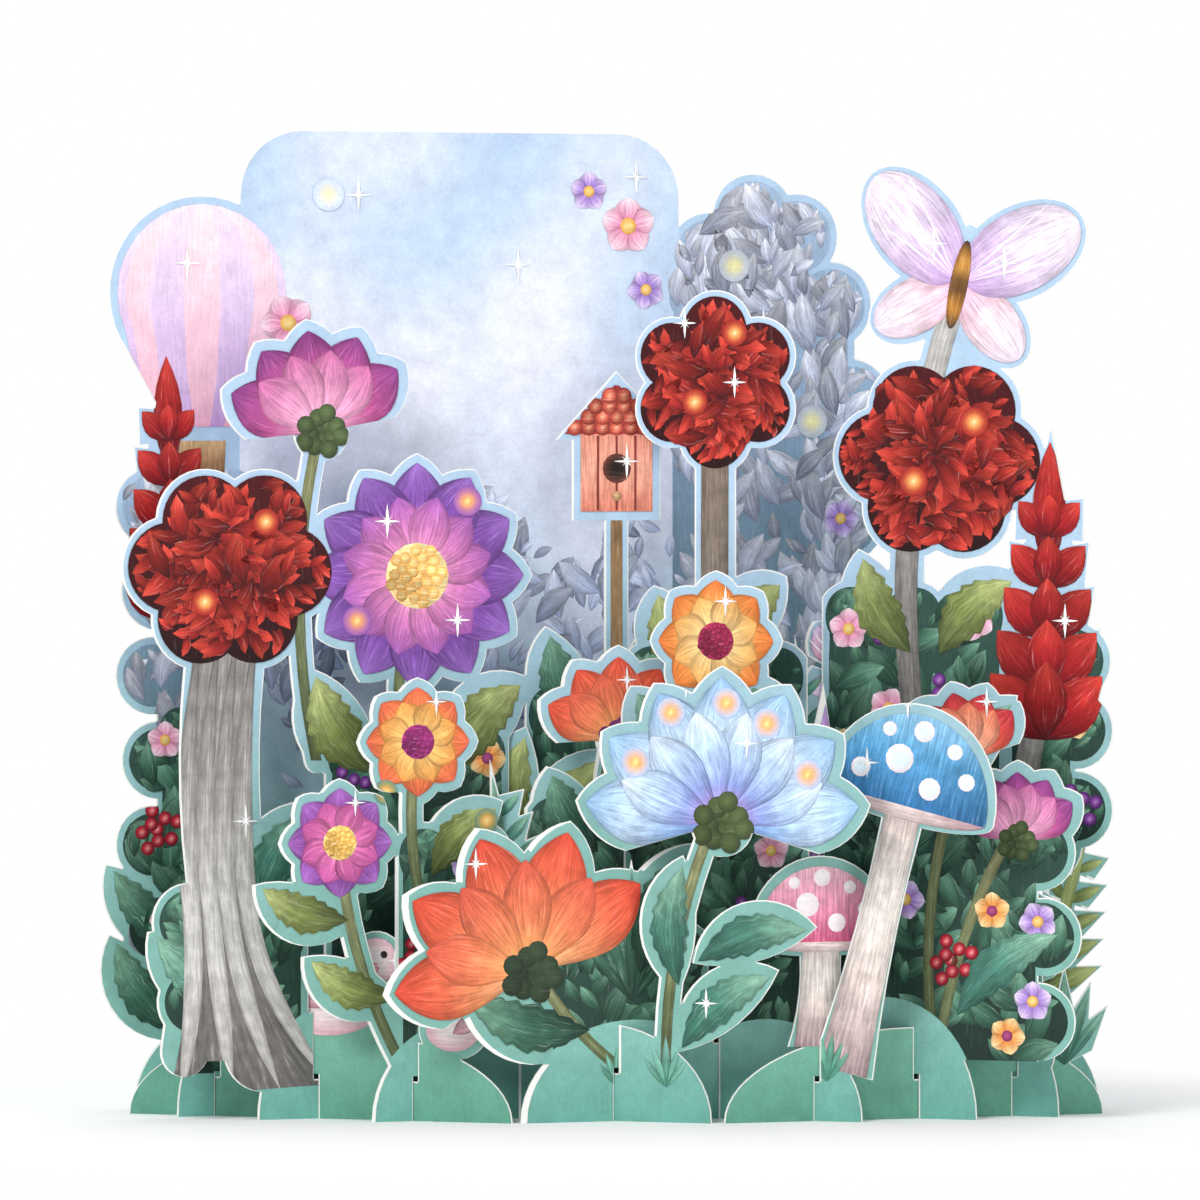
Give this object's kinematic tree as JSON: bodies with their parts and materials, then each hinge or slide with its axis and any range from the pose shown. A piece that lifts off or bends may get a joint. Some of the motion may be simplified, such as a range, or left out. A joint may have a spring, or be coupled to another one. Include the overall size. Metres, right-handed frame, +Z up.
{
  "type": "pop up card",
  "caption": "Pop up greeting card standing open as a lattice of slotted, die-cut card sheets with hills at the foot and a garden scene above.",
  "frame": {"origin": "on the table under the middle of the standing card", "axes": "+Z up; the printed fronts of the sheets face -Y; +X to the right seen from the front"},
  "size_m": [0.182, 0.0742, 0.1771],
  "materials": {
    "hill_card": "matt card printed in green on its front, white at its cut edges",
    "garden_card": "matt card printed in teal and flower colours on its front, white at its cut edges",
    "sky_card": "matt card printed in pale blue on its front, white at its cut edges"
  },
  "bodies": {
    "root": {"front_left_hill": "hill_card", "front_right_hill": "hill_card", "centre_left_sheet": "garden_card", "centre_right_sheet": "garden_card", "left_front_sheet": "garden_card", "right_front_sheet": "garden_card", "left_middle_sheet": "garden_card", "right_middle_sheet": "garden_card", "sky_sheet": "sky_card", "right_back_sheet": "garden_card"}
  },
  "joints": []
}
